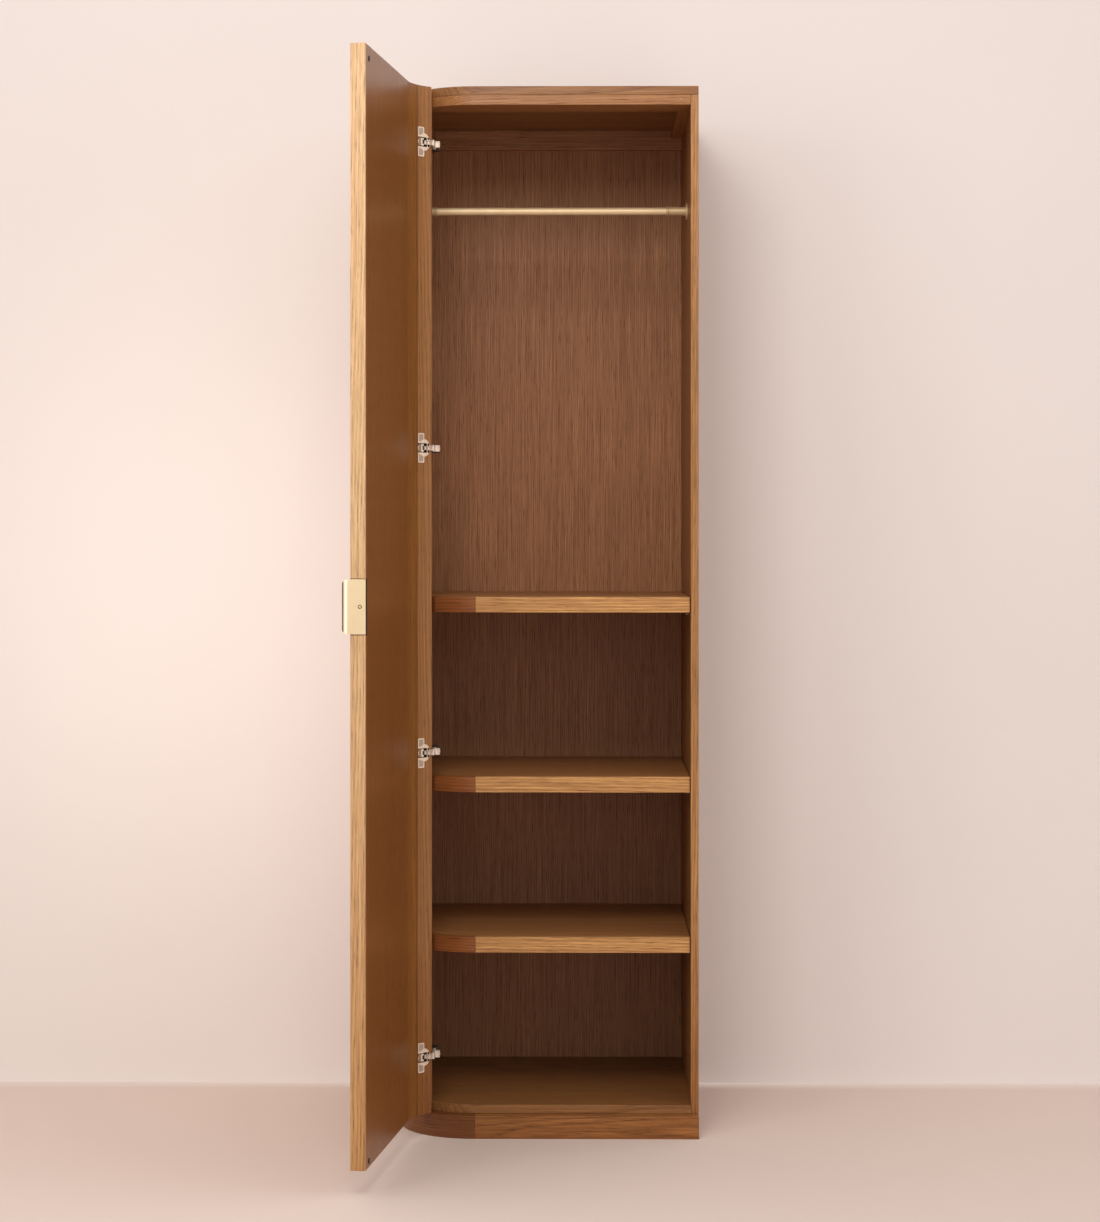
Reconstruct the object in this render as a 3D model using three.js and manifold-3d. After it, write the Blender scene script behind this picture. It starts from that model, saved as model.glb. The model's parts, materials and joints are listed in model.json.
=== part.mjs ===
// Tall storage cabinet with one rounded front corner, a full-height door, shelves and a hanging rod.
// Millimetres, +X right, +Y back, +Z up. The origin is on the floor, at the centre of the plinth.
// The door is drawn in its closed place and swung open about its hinge axis.
import * as THREE from 'three';
import { mergeVertices } from 'three/addons/utils/BufferGeometryUtils.js';
import Module from 'manifold-3d';

const wasm = await Module();
wasm.setup();

// ---- Driving dimensions ----
const HEIGHT = 2134;          // 84 in
const HALF_WIDTH = 307;       // outer faces of the cabinet are at -HALF_WIDTH and +HALF_WIDTH
const FRONT = -272;           // front edges of the carcass boards
const BACK = 298;             // back edges of the sides, against the wall
const CORNER_R = 130;         // carcass radius at the rounded front-left corner

const PLINTH_H = 46;
const PLINTH_T = 30;
const PLINTH_PROUD = 26;      // the plinth stands this far in front of the carcass edges
const PANEL_T = 18;           // top and bottom panels
const SIDE_T = 16;            // right side panel
const BACK_PANEL_Y = 268;     // front face of the back panel
const BACK_PANEL_T = 12;

const RAIL_H = 20;            // build-up strips under the top
const RAIL_DEPTH = 100;
const STRIP_W = 23;
const CLEAT_H = 43;
const CLEAT_T = 16;

const DOOR_GAP = 1.5;         // between the door and the carcass edges
const DOOR_T = 28.5;
const DOOR_BOTTOM = 49;
const DOOR_TOP = 2131;
const DOOR_SWEEP = THREE.MathUtils.degToRad(42);    // part of the rounded corner that the door covers
const STAVE_SPLIT = THREE.MathUtils.degToRad(23); // glue line between the two curved staves
const DOOR_OPEN = THREE.MathUtils.degToRad(96.45);  // how far open the door stands at rest
const POST_GAP = 3;           // between the door's hinge edge and the fixed corner post
const GLUE_GAP = 0.3;         // glue lines and seats

const SHELF_TOPS = [404, 730, 1096];
const SHELF_T = 32;
const SHELF_SETBACK = 6;
const SHELF_CLEARANCE = 1.5;
const LIPPING_T = 20;         // solid wood strip along a shelf's front edge
const PIN_R = 3;
const PIN_OUT = 9;            // how far a shelf pin stands out of its panel
const PIN_BACK = 218;         // places of the shelf pins, front to back
const PIN_FRONT_RIGHT = -222;
const PIN_FRONT_LEFT = -100;

const ROD_Z = 1901;
const ROD_Y = -72;
const ROD_R = 8;
const SOCKET_R = 9.5;
const SOCKET_LENGTH = 44;
const FLANGE_R = 18;
const FLANGE_T = 2.6;

const HINGE_HEIGHTS = [165, 781, 1398, 2017];
const CUP_FROM_EDGE = 21.5;   // cup centre to the door's hinge edge, along the inner face
const CUP_R = 17.5;
const CUP_DEPTH = 11.5;
const WING_OFFSET = 9.5;      // screw line of the cup's wings, away from the hinge edge
const WING_W = 18;
const WING_H = 60;
const CUP_PLATE_T = 1.2;
const LINK_T = 4;
const LINK_H = 12.4;
const LINK_PIN_R = 2;
const KNUCKLE = [9.5, 12, 12.8];  // block beside the link's bend, on a rivet
const KNUCKLE_AT = [8.9, -30];    // its centre, from the link's own pivot
const ARM_W = 16;
const ARM_ANGLE = THREE.MathUtils.degToRad(58);     // where the arm's plate sits on the corner post

const PULL_H = 102;
const PULL_T = 2;
const PULL_LIP = 17;          // how far the lip stands in front of the door
const PULL_PAST = 1;          // how far the plate passes the door's inner face
const PULL_SCREW_IN = 10;     // screw to the inner face
const PULL_CURL_R = 10;       // inside radius of the lip's curl
const PULL_CORNER_R = 16;
const MAGNET_R = 5.5;
const MAGNET_T = 1;
const MAGNET_FROM_EDGE = 35;

const ARC_STEPS = 10;         // half the number of flats in one rounded corner
const STAVE_STEPS = 4;        // half the number of flats across one door stave

// ---- Worked-out places ----
const LEFT = -HALF_WIDTH;
const RIGHT = HALF_WIDTH;
const SIDE_LEFT_T = DOOR_T + DOOR_GAP;              // the fixed left side is flush with the door's face
const INNER_LEFT = LEFT + SIDE_LEFT_T;
const CORNER_X = INNER_LEFT + CORNER_R;             // upright axis of the rounded corner
const CORNER_Y = FRONT + CORNER_R;
const INNER_RIGHT = RIGHT - SIDE_T;
const FLOOR_Z = PLINTH_H + PANEL_T;                 // upper face of the bottom panel
const CEILING_Z = HEIGHT - PANEL_T;                 // underside of the top panel
const DOOR_IN_R = CORNER_R + DOOR_GAP;
const DOOR_OUT_R = DOOR_IN_R + DOOR_T;
const POST_START = DOOR_SWEEP + POST_GAP / DOOR_OUT_R;
const MID_Z = (DOOR_BOTTOM + DOOR_TOP) / 2;

// A point near the rounded corner. The angle runs from the front face round to the left side.
function cornerPoint(radius, angle) {
  return new THREE.Vector2(CORNER_X - radius * Math.sin(angle), CORNER_Y - radius * Math.cos(angle));
}

const PIVOT = cornerPoint(DOOR_OUT_R, DOOR_SWEEP);  // hinge axis, at the outer corner of the hinge edge
const LINK_PIVOT = PIVOT.clone().add(new THREE.Vector2(21, 33));

// ---- Finishes ----
const finish = (color, roughness, metalness) => ({ color, roughness, metalness });
const OAK = finish('#9a6534', 0.45, 0);
const OAK_DARK = finish('#6b4020', 0.5, 0);
const OAK_EDGE = finish('#b98149', 0.5, 0);
const BRASS = finish('#c7a56a', 0.3, 1);
const NICKEL = finish('#b9b2a8', 0.25, 1);
const MAGNET = finish('#2a2523', 0.5, 0.6);

const cabinet = new THREE.Group();

function addMesh(parent, name, geometry, look) {
  const mesh = new THREE.Mesh(geometry, new THREE.MeshStandardMaterial(look));
  mesh.name = name;
  parent.add(mesh);
  return mesh;
}

// A straight board given by its lowest and highest corners.
function board(parent, name, low, high, look) {
  const size = high.map((value, axis) => value - low[axis]);
  const mesh = addMesh(parent, name, new THREE.BoxGeometry(...size), look);
  mesh.position.set(...high.map((value, axis) => (value + low[axis]) / 2));
  return mesh;
}

// A shape in plan, pulled up from one height to another.
function upright(parent, name, shape, bottom, top, look, steps = ARC_STEPS) {
  const mesh = addMesh(parent, name, extrude(shape, top - bottom, steps), look);
  mesh.position.z = bottom;
  return mesh;
}

function extrude(shape, depth, steps = ARC_STEPS) {
  return new THREE.ExtrudeGeometry(shape, { depth, bevelEnabled: false, curveSegments: steps });
}

// A stretch of the rounded corner in plan, between two radii and two angles.
function cornerSector(innerR, outerR, from, to) {
  const turn = (angle) => -Math.PI / 2 - angle;
  const shape = new THREE.Shape();
  shape.absarc(CORNER_X, CORNER_Y, outerR, turn(from), turn(to), true);
  shape.absarc(CORNER_X, CORNER_Y, innerR, turn(to), turn(from), false);
  shape.closePath();
  return shape;
}

// A board in plan whose front-left corner is rounded, from the corner's axis back to yBack.
function roundedBoard(radius, left, right, yBack) {
  const shape = new THREE.Shape();
  shape.moveTo(right, yBack);
  shape.lineTo(right, CORNER_Y - radius);
  shape.absarc(CORNER_X, CORNER_Y, radius, -Math.PI / 2, -Math.PI, true);
  if (left !== CORNER_X - radius) {
    shape.lineTo(left, CORNER_Y);
  }
  shape.lineTo(left, yBack);
  shape.closePath();
  return shape;
}

// ---- Cuts and joins ----
function toSolid(geometry) {
  const bare = geometry.clone();
  bare.deleteAttribute('normal');
  bare.deleteAttribute('uv');
  const merged = mergeVertices(bare, 1e-4);
  return new wasm.Manifold(new wasm.Mesh({
    numProp: 3,
    vertProperties: new Float32Array(merged.attributes.position.array),
    triVerts: new Uint32Array(merged.index.array),
  }));
}

function toGeometry(solid) {
  const { vertProperties, triVerts } = solid.getMesh();
  const geometry = new THREE.BufferGeometry();
  geometry.setAttribute('position', new THREE.BufferAttribute(new Float32Array(vertProperties), 3));
  geometry.setIndex(new THREE.BufferAttribute(new Uint32Array(triVerts), 1));
  geometry.computeVertexNormals();
  return geometry;
}

const block = (x, y, z, cx, cy, cz) => toSolid(new THREE.BoxGeometry(x, y, z).translate(cx, cy, cz));

// A round bar along Z, centred at a height.
function barZ(radius, length, x, y, z = 0) {
  return toSolid(new THREE.CylinderGeometry(radius, radius, length, 16).rotateX(Math.PI / 2).translate(x, y, z));
}

// A frame on the rounded corner: +X runs towards the flat front, +Y into the cabinet.
function cornerFrame(parent, radius, angle, z) {
  const frame = new THREE.Group();
  const place = cornerPoint(radius, angle);
  frame.position.set(place.x, place.y, z);
  frame.rotation.z = -angle;
  parent.add(frame);
  return frame;
}

// ---- Plinth ----
function buildPlinth() {
  const front = FRONT - PLINTH_PROUD;
  const outerR = CORNER_R + PLINTH_PROUD;
  const left = CORNER_X - outerR;
  const innerFront = front + PLINTH_T;
  const innerBack = BACK - PLINTH_T;
  upright(cabinet, 'plinth_corner', cornerSector(outerR - PLINTH_T, outerR, 0, Math.PI / 2), 0, PLINTH_H, OAK);
  board(cabinet, 'plinth_front', [CORNER_X, front, 0], [RIGHT, innerFront, PLINTH_H], OAK);
  board(cabinet, 'plinth_left', [left, CORNER_Y, 0], [left + PLINTH_T, BACK, PLINTH_H], OAK);
  board(cabinet, 'plinth_right', [RIGHT - PLINTH_T, innerFront, 0], [RIGHT, BACK, PLINTH_H], OAK);
  board(cabinet, 'plinth_back', [left + PLINTH_T, innerBack, 0], [RIGHT - PLINTH_T, BACK, PLINTH_H], OAK_DARK);
  board(cabinet, 'plinth_centre_rail', [-PLINTH_T / 2, innerFront, 0], [PLINTH_T / 2, innerBack, PLINTH_H],
    OAK_DARK);
}

// ---- Fixed box ----
function buildCarcass() {
  upright(cabinet, 'bottom_panel', roundedBoard(CORNER_R, INNER_LEFT, INNER_RIGHT, BACK_PANEL_Y), PLINTH_H, FLOOR_Z,
    OAK);
  upright(cabinet, 'top_panel', roundedBoard(CORNER_R, INNER_LEFT, RIGHT, BACK), CEILING_Z, HEIGHT, OAK);
  board(cabinet, 'side_panel_right', [INNER_RIGHT, FRONT, PLINTH_H], [RIGHT, BACK, CEILING_Z], OAK);
  board(cabinet, 'side_panel_left', [LEFT, CORNER_Y, DOOR_BOTTOM], [INNER_LEFT, BACK, HEIGHT], OAK);
  const post = cornerSector(CORNER_R + GLUE_GAP, DOOR_OUT_R, POST_START, Math.PI / 2);
  upright(cabinet, 'corner_post', post, DOOR_BOTTOM, DOOR_TOP, OAK);
  board(cabinet, 'back_panel', [INNER_LEFT, BACK_PANEL_Y, PLINTH_H],
    [INNER_RIGHT, BACK_PANEL_Y + BACK_PANEL_T, CEILING_Z], OAK_DARK);
}

// ---- Strips that thicken the top's front and sides, and the cleat along its back ----
function buildTopStrips() {
  const railBack = FRONT + RAIL_DEPTH;
  const turn = Math.acos((CORNER_Y - railBack) / CORNER_R);
  const rail = new THREE.Shape();
  rail.moveTo(INNER_RIGHT, railBack);
  rail.lineTo(INNER_RIGHT, FRONT);
  rail.absarc(CORNER_X, CORNER_Y, CORNER_R, -Math.PI / 2, -Math.PI / 2 - turn, true);
  rail.closePath();
  const bottom = CEILING_Z - RAIL_H;
  const cleatFront = BACK_PANEL_Y - CLEAT_T;
  upright(cabinet, 'top_front_rail', rail, bottom, CEILING_Z, OAK);
  board(cabinet, 'top_side_strip_right', [INNER_RIGHT - STRIP_W, railBack, bottom],
    [INNER_RIGHT, cleatFront, CEILING_Z], OAK);
  board(cabinet, 'top_side_strip_left', [INNER_LEFT, CORNER_Y, bottom],
    [INNER_LEFT + STRIP_W, cleatFront, CEILING_Z], OAK);
  board(cabinet, 'top_back_cleat', [INNER_LEFT, cleatFront, CEILING_Z - CLEAT_H],
    [INNER_RIGHT, BACK_PANEL_Y, CEILING_Z], OAK_DARK);
}

// ---- Shelves: a board with a straight lipping and a curved one, resting on four pins ----
function buildShelf(number, topZ) {
  const bottom = topZ - SHELF_T;
  const outerR = CORNER_R - SHELF_SETBACK;
  const boardR = outerR - LIPPING_T;
  const right = INNER_RIGHT - SHELF_CLEARANCE;
  const front = CORNER_Y - outerR;
  const boardShape = roundedBoard(boardR - GLUE_GAP, CORNER_X - outerR, right, BACK_PANEL_Y - SHELF_CLEARANCE);
  upright(cabinet, `shelf_${number}_board`, boardShape, bottom, topZ, OAK);
  board(cabinet, `shelf_${number}_front_lipping`, [CORNER_X, front, bottom], [right, front + LIPPING_T, topZ],
    OAK_EDGE);
  upright(cabinet, `shelf_${number}_corner_lipping`,
    cornerSector(boardR, outerR, GLUE_GAP / outerR, Math.PI / 2 - GLUE_GAP / boardR), bottom, topZ, OAK_EDGE);
  const pins = [
    ['front_right', INNER_RIGHT, -1, PIN_FRONT_RIGHT],
    ['back_right', INNER_RIGHT, -1, PIN_BACK],
    ['front_left', INNER_LEFT, 1, PIN_FRONT_LEFT],
    ['back_left', INNER_LEFT, 1, PIN_BACK],
  ];
  for (const [corner, wall, side, y] of pins) {
    const pin = addMesh(cabinet, `shelf_${number}_pin_${corner}`,
      new THREE.CylinderGeometry(PIN_R, PIN_R, PIN_OUT, 16), BRASS);
    pin.rotation.z = Math.PI / 2;
    pin.position.set(wall + side * PIN_OUT / 2, y, bottom - PIN_R - GLUE_GAP);
  }
}

// ---- Hanging rod in two flanged sockets ----
function buildRod() {
  const reach = SOCKET_LENGTH - FLANGE_T;
  const socketProfile = [
    [0, 0],
    [FLANGE_R, 0],
    [FLANGE_R, FLANGE_T - 1],
    [FLANGE_R - 1, FLANGE_T],
    [SOCKET_R, FLANGE_T],
    [SOCKET_R, SOCKET_LENGTH - 0.5],
    [SOCKET_R - 0.5, SOCKET_LENGTH],
    [ROD_R + GLUE_GAP, SOCKET_LENGTH],
    [ROD_R + GLUE_GAP, SOCKET_LENGTH - reach],
    [0, SOCKET_LENGTH - reach],
  ].map(([radius, height]) => new THREE.Vector2(radius, height));
  for (const [name, wall, side] of [['rod_socket_right', INNER_RIGHT, 1], ['rod_socket_left', INNER_LEFT, -1]]) {
    const socket = addMesh(cabinet, name, new THREE.LatheGeometry(socketProfile, 28), BRASS);
    socket.rotation.z = side * Math.PI / 2;
    socket.position.set(wall, ROD_Y, ROD_Z);
  }
  const seat = FLANGE_T + GLUE_GAP;
  const length = INNER_RIGHT - INNER_LEFT - 2 * seat;
  const rod = addMesh(cabinet, 'hanging_rod', new THREE.CylinderGeometry(ROD_R, ROD_R, length, 32), BRASS);
  rod.rotation.z = Math.PI / 2;
  rod.position.set((INNER_LEFT + INNER_RIGHT) / 2, ROD_Y, ROD_Z);
}

// ---- Door ----
const doorSwing = new THREE.Group();
doorSwing.position.set(PIVOT.x, PIVOT.y, 0);
doorSwing.rotation.z = -DOOR_OPEN;
cabinet.add(doorSwing);
const door = new THREE.Group();
door.position.set(-PIVOT.x, -PIVOT.y, 0);
doorSwing.add(door);

const CUP_ANGLE = DOOR_SWEEP - CUP_FROM_EDGE / DOOR_IN_R;

function buildDoorLeaf() {
  const innerFace = CORNER_Y - DOOR_IN_R;
  const outerFace = innerFace - DOOR_T;
  board(door, 'door_panel', [CORNER_X + GLUE_GAP, outerFace, DOOR_BOTTOM], [RIGHT, innerFace, DOOR_TOP], OAK);
  const split = GLUE_GAP / 2 / DOOR_IN_R;
  upright(door, 'door_curved_stave', cornerSector(DOOR_IN_R, DOOR_OUT_R, 0, STAVE_SPLIT - split), DOOR_BOTTOM,
    DOOR_TOP, OAK, STAVE_STEPS);

  const staveShape = cornerSector(DOOR_IN_R, DOOR_OUT_R, STAVE_SPLIT + split, DOOR_SWEEP);
  let stave = toSolid(extrude(staveShape, DOOR_TOP - DOOR_BOTTOM, STAVE_STEPS));
  for (const height of HINGE_HEIGHTS) {
    stave = stave.subtract(hingeSeat(height - DOOR_BOTTOM));
  }
  addMesh(door, 'door_hinge_stave', toGeometry(stave), OAK).position.z = DOOR_BOTTOM;
}

// Flat seat for the wings and round pocket for the cup, cut square to the inner face.
function hingeSeat(height) {
  const wings = new THREE.BoxGeometry(WING_W + 2 * GLUE_GAP, 6, WING_H + 2 * GLUE_GAP);
  wings.translate(WING_OFFSET, 3 - GLUE_GAP, 0);
  const rim = new THREE.CylinderGeometry(CUP_R + GLUE_GAP, CUP_R + GLUE_GAP, CUP_DEPTH + 6, 28);
  rim.translate(0, 6 - (CUP_DEPTH + 6) / 2 - GLUE_GAP, 0);
  const place = cornerPoint(DOOR_IN_R, CUP_ANGLE);
  const solids = [wings, rim].map((geometry) => {
    geometry.rotateZ(-CUP_ANGLE).translate(place.x, place.y, height);
    return toSolid(geometry);
  });
  return solids[0].add(solids[1]);
}

function buildDoorFittings() {
  const innerFace = CORNER_Y - DOOR_IN_R;
  const outerFace = innerFace - DOOR_T;
  const edge = RIGHT + GLUE_GAP;
  const pull = pullGeometry(edge, innerFace + PULL_PAST, outerFace - PULL_LIP);
  addMesh(door, 'door_pull', pull, BRASS).position.z = MID_Z;
  const screw = addMesh(door, 'door_pull_screw', new THREE.CylinderGeometry(2.6, 3.2, 1, 24), BRASS);
  screw.rotation.z = -Math.PI / 2;
  screw.position.set(edge + PULL_T + 0.5 + GLUE_GAP / 10, innerFace - PULL_SCREW_IN, MID_Z);

  // Round magnets that meet the carcass edges.
  for (const [name, z] of [['door_magnet_top', DOOR_TOP - 24], ['door_magnet_bottom', DOOR_BOTTOM + 12]]) {
    const magnet = addMesh(door, name, new THREE.CylinderGeometry(MAGNET_R, MAGNET_R, MAGNET_T, 24), MAGNET);
    magnet.position.set(RIGHT - MAGNET_FROM_EDGE, innerFace + MAGNET_T / 2 + 0.05, z);
  }
}

// A plate on the door's free edge whose front lip curls back, with its two front corners rounded.
function pullGeometry(edge, back, tip) {
  const curlR = PULL_CURL_R + PULL_T;
  const curlY = tip + curlR;
  const bend = new THREE.Shape();
  bend.moveTo(edge, back);
  bend.lineTo(edge, curlY);
  bend.absarc(edge - PULL_CURL_R, curlY, PULL_CURL_R, 0, -Math.PI / 2, true);
  bend.absarc(edge - PULL_CURL_R, curlY, curlR, -Math.PI / 2, 0, false);
  bend.lineTo(edge + PULL_T, back);
  bend.closePath();
  const top = PULL_H / 2;
  const outline = new THREE.Shape();
  outline.moveTo(back, -top);
  outline.lineTo(back, top);
  outline.lineTo(tip + PULL_CORNER_R, top);
  outline.absarc(tip + PULL_CORNER_R, top - PULL_CORNER_R, PULL_CORNER_R, Math.PI / 2, Math.PI, false);
  outline.absarc(tip + PULL_CORNER_R, PULL_CORNER_R - top, PULL_CORNER_R, Math.PI, Math.PI * 1.5, false);
  outline.closePath();
  // The outline lies in Y and Z and is pulled along X.
  const alongX = new THREE.Matrix4().makeBasis(
    new THREE.Vector3(0, 1, 0), new THREE.Vector3(0, 0, 1), new THREE.Vector3(1, 0, 0));
  const blank = extrude(outline, 40).applyMatrix4(alongX).translate(edge - 20, 0, 0);
  return toGeometry(toSolid(extrude(bend, PULL_H).translate(0, 0, -top)).intersect(toSolid(blank)));
}

// ---- Concealed hinges: cup in the door, goose-neck link, arm on the corner post ----
function cupGeometry() {
  const shell = new THREE.LatheGeometry([
    [0, -CUP_DEPTH],
    [CUP_R - 1.5, -CUP_DEPTH],
    [CUP_R, -CUP_DEPTH + 1.5],
    [CUP_R, CUP_PLATE_T],
    [CUP_R - 2, CUP_PLATE_T],
    [CUP_R - 2, -CUP_DEPTH + 2.5],
    [CUP_R - 3.5, -CUP_DEPTH + 1],
    [0, -CUP_DEPTH + 1],
  ].map(([radius, height]) => new THREE.Vector2(radius, height)), 28);
  const hole = toSolid(new THREE.CylinderGeometry(CUP_R - 1, CUP_R - 1, 10, 28));
  const wings = block(WING_W, CUP_PLATE_T, WING_H, WING_OFFSET, CUP_PLATE_T / 2, 0).subtract(hole);
  return toGeometry(toSolid(shell).add(wings));
}

// The link, drawn with the door open. Its points are measured from its own pivot.
function linkGeometry() {
  const swing = new THREE.Vector2();
  const withDoorOpen = (x, y) => {
    const place = cornerPoint(DOOR_IN_R, CUP_ANGLE);
    swing.set(x, y).rotateAround(new THREE.Vector2(), -CUP_ANGLE).add(place);
    return swing.clone().rotateAround(PIVOT, -DOOR_OPEN).sub(LINK_PIVOT);
  };
  const path = [
    new THREE.Vector2(0, 0),
    new THREE.Vector2(1.5, -53),
    withDoorOpen(-8, 5.5),
    withDoorOpen(-4, -4),
  ];
  let link = barZ(4.5, LINK_H, 0, 0).add(barZ(3, LINK_H, path[3].x, path[3].y));
  for (let i = 0; i < 3; i += 1) {
    const along = path[i + 1].clone().sub(path[i]);
    const middle = path[i + 1].clone().add(path[i]).multiplyScalar(0.5);
    const bar = new THREE.BoxGeometry(along.length(), LINK_T, LINK_H);
    bar.rotateZ(along.angle()).translate(middle.x, middle.y, 0);
    link = link.add(toSolid(bar)).add(barZ(LINK_T / 2, LINK_H, path[i + 1].x, path[i + 1].y));
  }
  const [x, y] = KNUCKLE_AT;
  const rivet = new THREE.CylinderGeometry(3, 3, x, 16).rotateZ(Math.PI / 2).translate(x / 2 + 1, y, 0);
  link = link.add(block(...KNUCKLE, x, y, 0)).add(toSolid(rivet));
  return toGeometry(link.subtract(barZ(LINK_PIN_R + 0.4, LINK_H + 2, 0, 0)));
}

// The arm in the frame of its plate: +X towards the door, +Y away from the post.
const ARM_SEAT_R = 128;
function armGeometry() {
  const local = LINK_PIVOT.clone().sub(cornerPoint(ARM_SEAT_R, ARM_ANGLE));
  local.rotateAround(new THREE.Vector2(), ARM_ANGLE);
  const profile = new THREE.Shape();
  profile.moveTo(-22, 0);
  profile.lineTo(-22, 12);
  profile.lineTo(-14, 22);
  profile.lineTo(12, 27.5);
  profile.lineTo(20, 27.5);
  profile.lineTo(21.5, 19);
  profile.lineTo(local.x, local.y + 6);
  profile.absarc(local.x, local.y, 6, Math.PI / 2, -Math.PI / 2, true);
  profile.lineTo(20, 0);
  profile.closePath();
  const body = extrude(profile, ARM_W).translate(0, 0, -ARM_W / 2);
  const foot = block(30, 3, 52, -4, 1.5, 0);
  const slot = block(20, 40, LINK_H + 0.8, local.x - 5 + 10, local.y, 0);
  const pin = barZ(LINK_PIN_R, ARM_W, local.x, local.y);
  return toGeometry(toSolid(body).add(foot).subtract(slot).add(pin));
}

function buildHinges() {
  HINGE_HEIGHTS.forEach((height, index) => {
    const number = index + 1;
    addMesh(cornerFrame(door, DOOR_IN_R, CUP_ANGLE, height), `hinge_${number}_cup`, cupGeometry(), NICKEL);
    const link = addMesh(cabinet, `hinge_${number}_link`, linkGeometry(), NICKEL);
    link.position.set(LINK_PIVOT.x, LINK_PIVOT.y, height);
    addMesh(cornerFrame(cabinet, ARM_SEAT_R, ARM_ANGLE, height), `hinge_${number}_arm`, armGeometry(), NICKEL);
  });
}

buildPlinth();
buildCarcass();
buildTopStrips();
SHELF_TOPS.forEach((topZ, index) => buildShelf(index + 1, topZ));
buildRod();
buildDoorLeaf();
buildDoorFittings();
buildHinges();

export default cabinet;
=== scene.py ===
"""Tall oak cabinet with a rounded front corner: the looks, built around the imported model.

Shapes are worked out in millimetres, in the model's frame: +X right, +Y back, +Z up. place() turns them
into metres. The door is built in its closed place and then swung open about its hinge axis.
"""

import json
import math
import random

import bmesh
import bpy
from mathutils import Matrix, Vector


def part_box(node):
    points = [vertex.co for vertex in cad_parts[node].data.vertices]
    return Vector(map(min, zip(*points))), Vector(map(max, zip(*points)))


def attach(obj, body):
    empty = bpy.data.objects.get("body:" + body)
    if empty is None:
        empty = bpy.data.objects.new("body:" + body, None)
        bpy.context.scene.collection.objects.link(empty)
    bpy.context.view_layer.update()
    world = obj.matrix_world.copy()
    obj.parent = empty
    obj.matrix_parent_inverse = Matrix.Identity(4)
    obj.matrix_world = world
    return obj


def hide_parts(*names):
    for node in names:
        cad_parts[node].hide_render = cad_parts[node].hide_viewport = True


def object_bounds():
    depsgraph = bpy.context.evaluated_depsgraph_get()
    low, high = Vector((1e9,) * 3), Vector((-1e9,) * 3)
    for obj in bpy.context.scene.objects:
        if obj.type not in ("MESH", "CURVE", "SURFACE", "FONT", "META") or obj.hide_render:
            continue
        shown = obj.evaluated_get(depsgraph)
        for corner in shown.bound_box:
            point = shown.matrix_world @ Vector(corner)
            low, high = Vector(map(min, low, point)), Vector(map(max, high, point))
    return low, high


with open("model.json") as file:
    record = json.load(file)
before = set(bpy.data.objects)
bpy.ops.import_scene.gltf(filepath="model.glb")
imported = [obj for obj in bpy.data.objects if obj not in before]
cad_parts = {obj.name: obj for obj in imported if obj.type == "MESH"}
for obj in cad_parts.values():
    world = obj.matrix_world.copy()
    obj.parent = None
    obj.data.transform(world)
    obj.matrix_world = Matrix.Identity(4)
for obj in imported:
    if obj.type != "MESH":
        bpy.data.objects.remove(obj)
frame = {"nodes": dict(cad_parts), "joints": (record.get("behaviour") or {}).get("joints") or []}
cad_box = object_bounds()

MM = 0.001
ARRIS = 1.0                  # rounding of the wooden edges
ARC_STEP = math.radians(2)   # one flat of a rounded corner


# ---- Places read from the model ----
def box(node):
    """Lowest and highest corner of a node, in millimetres."""
    low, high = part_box(node)
    return low / MM, high / MM


def joint(name):
    """Axis point in millimetres and highest angle in radians of a joint."""
    found = next(j for j in frame["joints"] if j["name"] == name)
    return Vector(found["pos_m"]) / MM, math.radians(found["range_deg"][1])


CORNER = box("plinth_corner")[1].to_2d()             # upright axis of the rounded corner
PIVOT, DOOR_OPEN = joint("door_hinge")
LINK_PIVOT = joint("hinge_link_swing")[0]
SWING = Matrix.Translation(PIVOT) @ Matrix.Rotation(-DOOR_OPEN, 4, "Z") @ Matrix.Translation(-PIVOT)
UNSWING = SWING.inverted()


def node_points(node):
    """Corners of a node in millimetres, with the door's nodes in their closed place."""
    points = [v.co / MM for v in frame["nodes"][node].data.vertices]
    return [UNSWING @ p for p in points] if node.startswith("door") else points


def closed_box(node):
    points = node_points(node)
    low = Vector(min(p[axis] for p in points) for axis in range(3))
    high = Vector(max(p[axis] for p in points) for axis in range(3))
    return low, high


def corner_angle(point):
    """Angle round the corner's axis, from the front face round to the left side."""
    return math.atan2(CORNER.x - point.x, CORNER.y - point.y)


def sector(node):
    """Inner and outer radius, first and last angle of a node that lies round the corner."""
    points = node_points(node)
    radii = [(p.to_2d() - CORNER).length for p in points]
    angles = [corner_angle(p) for p in points]
    return min(radii), max(radii), min(angles), max(angles)


def corner_point(radius, angle):
    return Vector((CORNER.x - radius * math.sin(angle), CORNER.y - radius * math.cos(angle)))


# ---- Outlines and solids ----
def corner_arc(radius, start, end):
    steps = max(2, round(abs(end - start) / ARC_STEP))
    return [corner_point(radius, start + (end - start) * i / steps) for i in range(steps + 1)]


def arc(x, y, radius, start, end, steps=8):
    """Points of an arc, with its angles in degrees."""
    angles = [math.radians(start + (end - start) * i / steps) for i in range(steps + 1)]
    return [Vector((x + radius * math.cos(a), y + radius * math.sin(a))) for a in angles]


def prism(outline, low, high):
    """A solid with one outline in plan, between two heights."""
    bm = bmesh.new()
    rings = [[bm.verts.new((p[0], p[1], z)) for p in outline] for z in (low, high)]
    count = len(outline)
    for i in range(count):
        j = (i + 1) % count
        bm.faces.new((rings[0][i], rings[0][j], rings[1][j], rings[1][i]))
    bm.faces.new(rings[1])
    bm.faces.new(list(reversed(rings[0])))
    bmesh.ops.recalc_face_normals(bm, faces=bm.faces)
    return bm


def slab(low, high):
    """A solid with flat faces square to the axes."""
    outline = [(low[0], low[1]), (high[0], low[1]), (high[0], high[1]), (low[0], high[1])]
    return prism(outline, low[2], high[2])


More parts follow.
